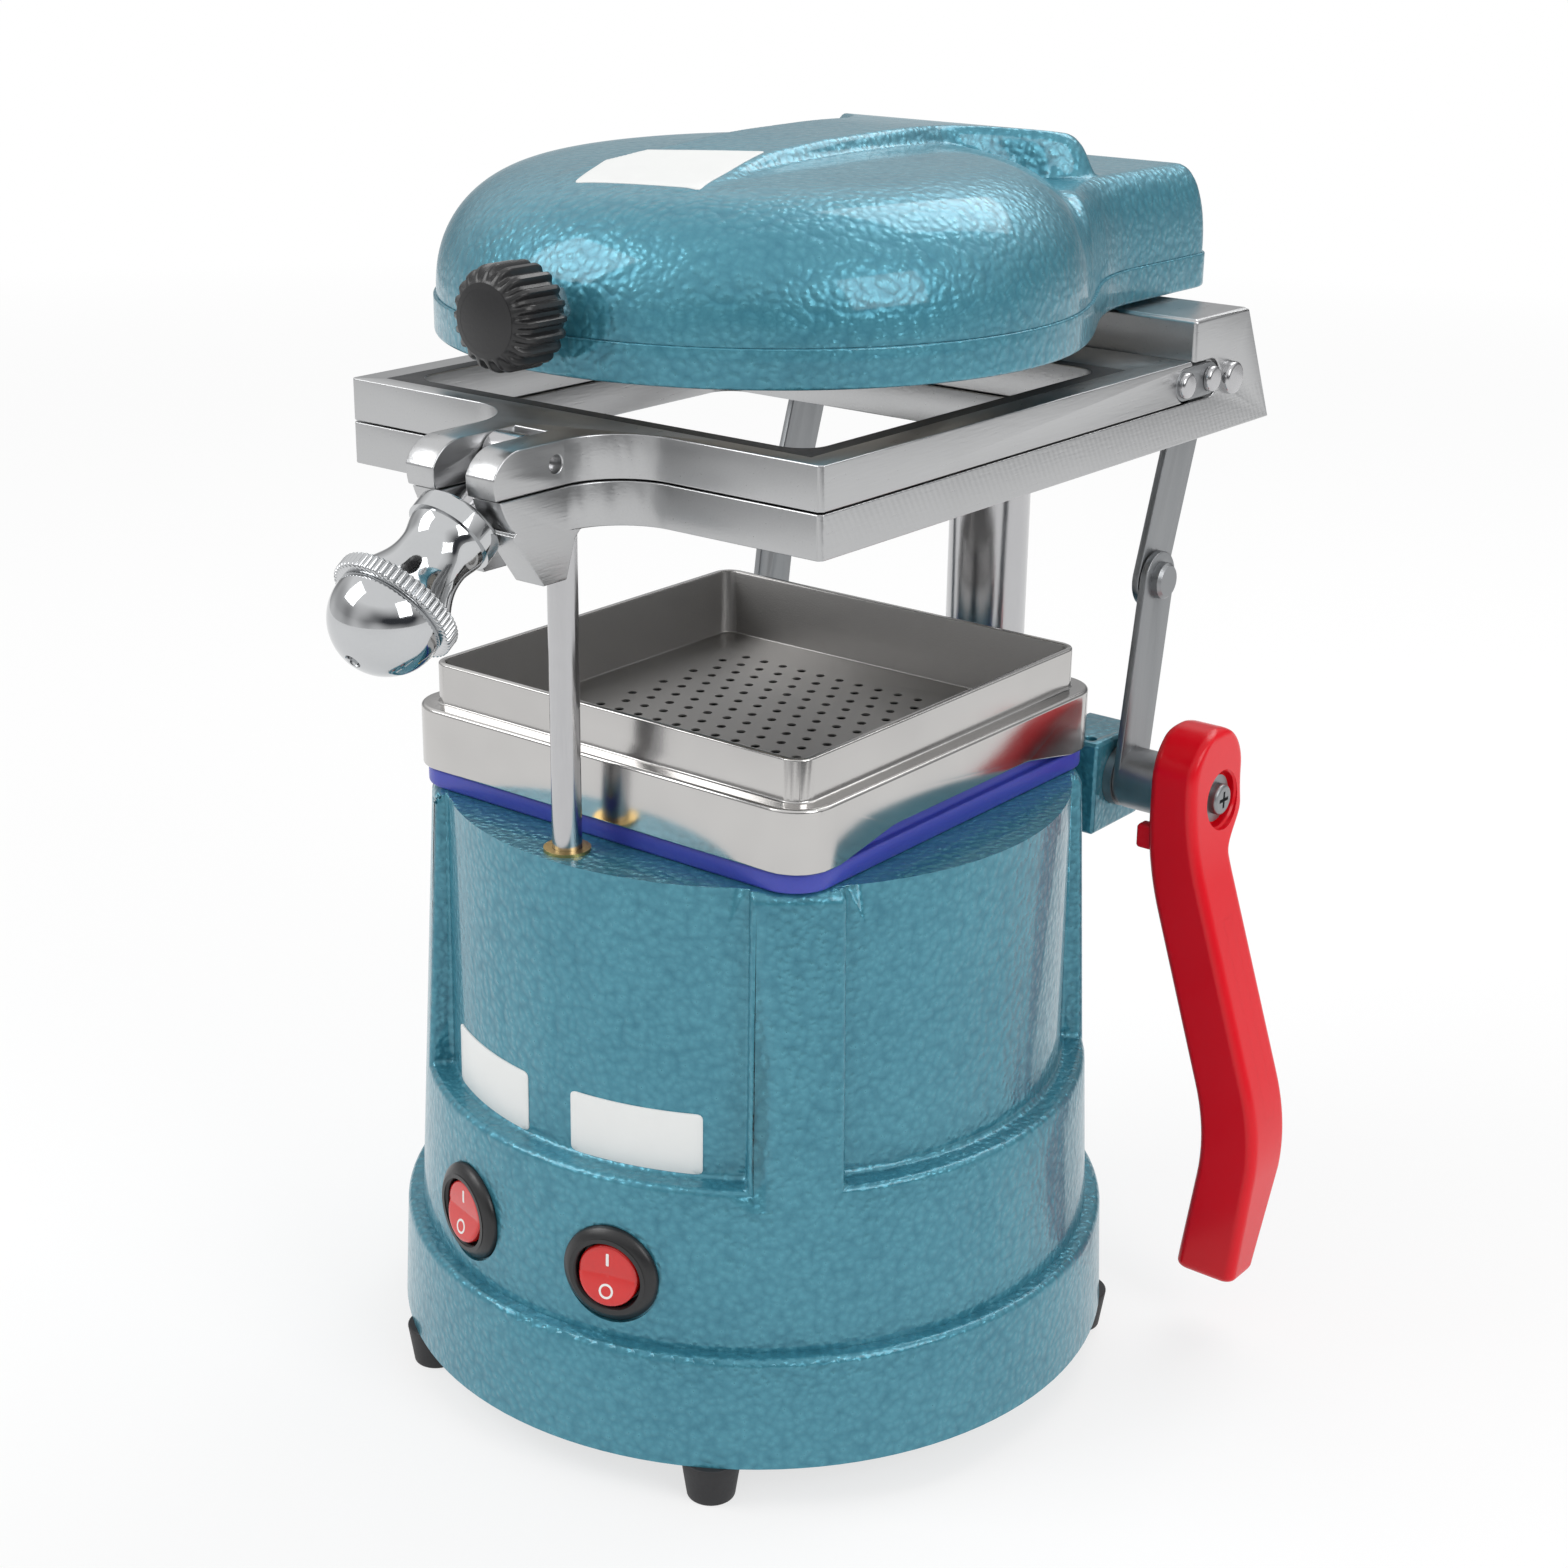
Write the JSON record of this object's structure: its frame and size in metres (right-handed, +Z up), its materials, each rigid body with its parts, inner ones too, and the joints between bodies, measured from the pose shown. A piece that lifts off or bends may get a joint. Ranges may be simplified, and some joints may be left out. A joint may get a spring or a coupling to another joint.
{
  "type": "dental vacuum former",
  "caption": "Bench vacuum former with a drum base, square perforated tray, hinged sheet frames lowered by a lever, and a swing-aside heater head.",
  "frame": {"origin": "on the axis of the drum, on the surface that the feet stand on", "axes": "+Z up, -Y towards the front with the switches, +X towards the lever side"},
  "size_m": [0.2141, 0.2753, 0.3186],
  "materials": {
    "hammertone": "hammertone gloss",
    "black_rubber": "matt",
    "zinc_steel": "satin",
    "base_sheet": "satin",
    "silicone": "satin",
    "tray_metal": "polished outside, satin inside",
    "plate_metal": "brushed",
    "polished_steel": "polished",
    "chrome": "mirror",
    "brass": "satin",
    "red_enamel": "gloss",
    "black_plastic": "satin",
    "red_plastic": "translucent gloss",
    "label_white": "matt",
    "motor_steel": "satin",
    "fan_alloy": "satin",
    "ceramic": "matt",
    "element_steel": "oxidised"
  },
  "bodies": {
    "base": {"feet": "black_rubber", "foot_screws": "zinc_steel", "base_plate": "base_sheet", "base_plate_screws": "zinc_steel", "housing": "hammertone", "gasket": "silicone", "forming_tray": "tray_metal", "motor_seal": "silicone", "fan_shroud": "motor_steel", "motor_can": "motor_steel", "motor_stator": "motor_steel", "motor_bearings": "polished_steel", "rear_column": "polished_steel", "rod_bush": "brass", "shaft_block_right": "hammertone", "shaft_block_left": "hammertone", "shaft_bushes": "brass", "switch_body_left": "black_plastic", "switch_body_right": "black_plastic", "label_plates": "label_white", "power_inlet": "black_plastic", "inlet_screws": "zinc_steel"},
    "lever_crank": {"lever_shaft": "polished_steel", "shaft_spacers": "zinc_steel", "shaft_sleeves": "zinc_steel", "lower_link_left": "zinc_steel", "lower_link_right": "zinc_steel", "link_rivets": "zinc_steel", "lever": "red_enamel", "lever_washer": "zinc_steel", "lever_screw": "zinc_steel"},
    "lower_carriage": {"lower_frame": "plate_metal", "column_bush": "brass", "guide_rod": "polished_steel", "link_pins": "zinc_steel", "strap_pivot_screws": "zinc_steel"},
    "upper_links": {"upper_link_left": "zinc_steel", "upper_link_right": "zinc_steel", "rivet_tails": "zinc_steel"},
    "upper_clamp_frame": {"upper_frame": "plate_metal", "hinge_straps": "zinc_steel", "strap_screws": "zinc_steel", "clamp_pin": "polished_steel"},
    "clamp_bolt": {"swing_bolt": "chrome"},
    "clamp_ball": {"clamp_knob": "chrome"},
    "heater_head": {"head_rim": "hammertone", "head_cover": "hammertone", "head_bush": "brass", "reflector": "fan_alloy", "ceramic_disc": "ceramic", "heating_element": "element_steel", "knob_stud": "zinc_steel", "knob_nut": "zinc_steel", "head_knob": "black_plastic"},
    "fan_rotor": {"motor_shaft": "polished_steel", "rotor_core": "motor_steel", "impeller": "fan_alloy"},
    "left_rocker": {"rocker_left": "red_plastic"},
    "right_rocker": {"rocker_right": "red_plastic"}
  },
  "joints": [
    {"name": "lever_turn", "type": "hinge", "parent": "base", "child": "lever_crank", "pos_m": [0, 0.0807, 0.1488], "axis": [-1, 0, 0], "range_deg": [0, 84]},
    {"name": "frame_slide", "type": "slide", "parent": "base", "child": "lower_carriage", "axis": [0, 0, 1], "range_m": [-0.0611, 0]},
    {"name": "link_swing", "type": "hinge", "parent": "lower_carriage", "child": "upper_links", "pos_m": [0, 0.1059, 0.2545], "axis": [1, 0, 0], "range_deg": [0, 49.3]},
    {"name": "frame_open", "type": "hinge", "parent": "lower_carriage", "child": "upper_clamp_frame", "pos_m": [0, 0.0955, 0.2558], "axis": [-1, 0, 0], "range_deg": [0, 3]},
    {"name": "clamp_swing", "type": "hinge", "parent": "upper_clamp_frame", "child": "clamp_bolt", "pos_m": [0, -0.0888, 0.2563], "axis": [-1, 0, 0], "range_deg": [0, 50]},
    {"name": "ball_spin", "type": "hinge", "parent": "clamp_bolt", "child": "clamp_ball", "pos_m": [0, -0.0888, 0.2563], "axis": [0, -0.809, -0.5878], "continuous": true},
    {"name": "head_swing", "type": "hinge", "parent": "base", "child": "heater_head", "pos_m": [0, 0.1041, 0.285], "axis": [0, 0, 1], "range_deg": [-100, 0]},
    {"name": "fan_spin", "type": "hinge", "parent": "base", "child": "fan_rotor", "pos_m": [0, 0, 0.1], "axis": [0, 0, 1], "continuous": true},
    {"name": "left_rocker_tilt", "type": "hinge", "parent": "base", "child": "left_rocker", "pos_m": [-0.02368, -0.08538, 0.0576], "axis": [0.9636, -0.2672, 0], "range_deg": [0, 14]},
    {"name": "right_rocker_tilt", "type": "hinge", "parent": "base", "child": "right_rocker", "pos_m": [0.02368, -0.08538, 0.0576], "axis": [0.9636, 0.2672, 0], "range_deg": [0, 14]}
  ],
  "couplings": [
    {"joint": "frame_slide", "follows": "lever_turn", "m_per_rad": -0.041676},
    {"joint": "link_swing", "follows": "lever_turn", "ratio": 0.5869},
    {"joint": "frame_open", "follows": "clamp_swing", "ratio": 0.06}
  ]
}
